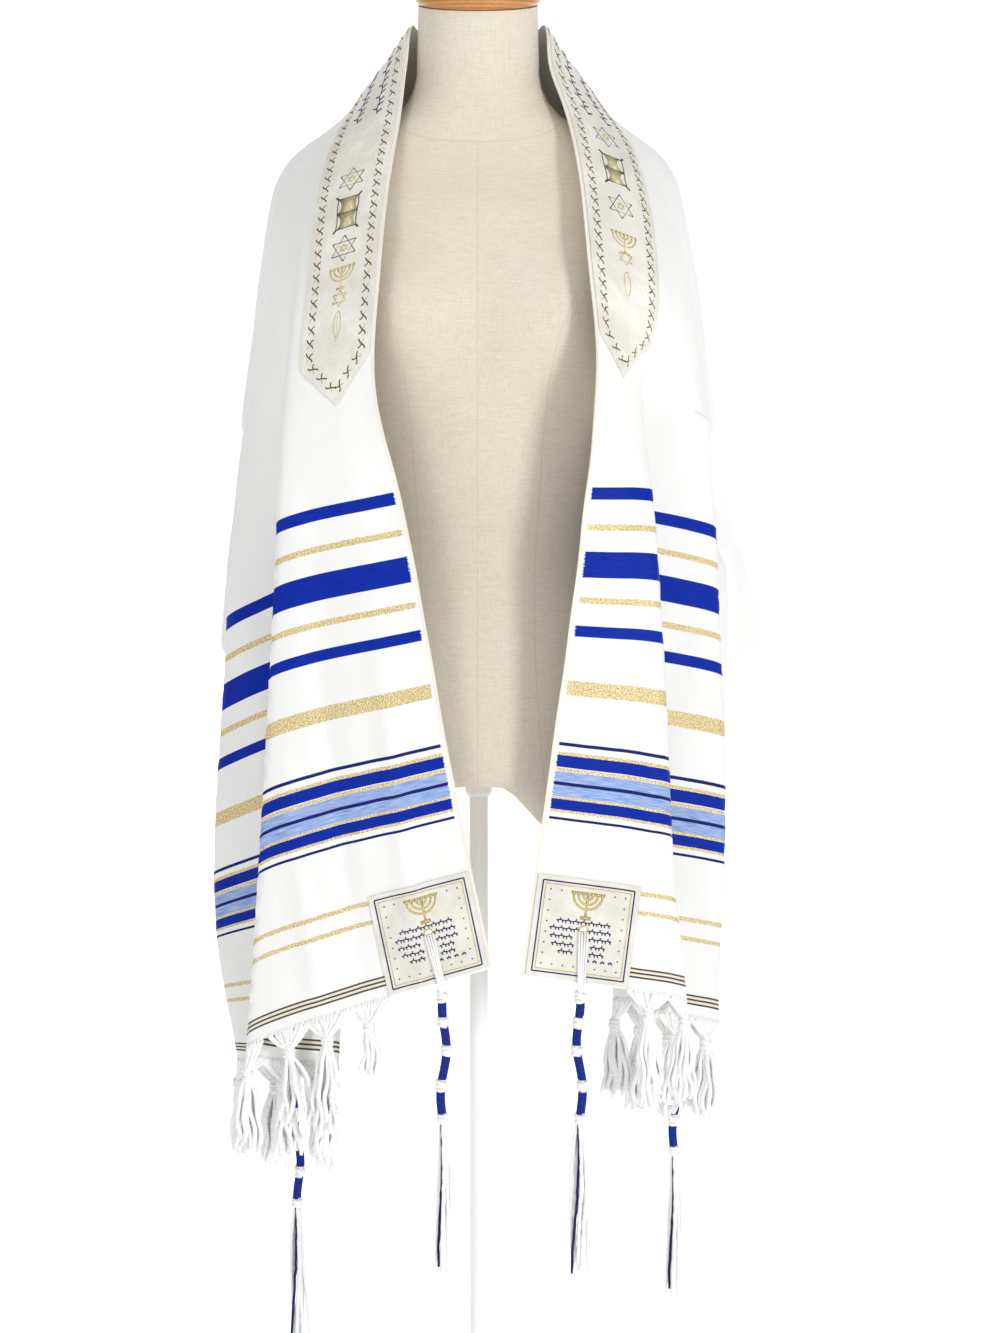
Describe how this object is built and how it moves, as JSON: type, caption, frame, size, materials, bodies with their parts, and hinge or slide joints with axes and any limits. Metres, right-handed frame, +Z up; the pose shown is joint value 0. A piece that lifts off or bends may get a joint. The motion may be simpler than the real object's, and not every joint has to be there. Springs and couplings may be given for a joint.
{
  "type": "tallit prayer shawl on a dress form",
  "caption": "White striped prayer shawl with neckband, corner patches, fringe and corner tassels, draped on a limbless dress form on a stand.",
  "frame": {"origin": "centre of the stand's underside, on the floor", "axes": "+Z up, the form faces -Y, +X to the viewer's right"},
  "size_m": [0.4689, 0.34, 1.5286],
  "materials": {
    "white_satin": "soft satin weave, striped blue and gold",
    "ivory_satin": "satin with woven borders",
    "white_yarn": "twisted yarn",
    "linen_covering": "plain-woven linen canvas",
    "varnished_wood": "varnished",
    "white_lacquer": "white lacquer"
  },
  "bodies": {
    "root": {"shawl_cloth": "white_satin", "neckband": "ivory_satin", "patch_front_left": "ivory_satin", "patch_front_right": "ivory_satin", "patch_rear_left": "ivory_satin", "patch_rear_right": "ivory_satin", "fringe_left": "white_yarn", "fringe_right": "white_yarn", "tassel_front_left": "white_yarn", "tassel_front_right": "white_yarn", "tassel_rear_left": "white_yarn", "tassel_rear_right": "white_yarn", "dress_form": "linen_covering", "neck_cap": "varnished_wood", "stand_ferrule": "white_lacquer", "stand_pole": "white_lacquer", "stand_base": "white_lacquer"}
  },
  "joints": []
}
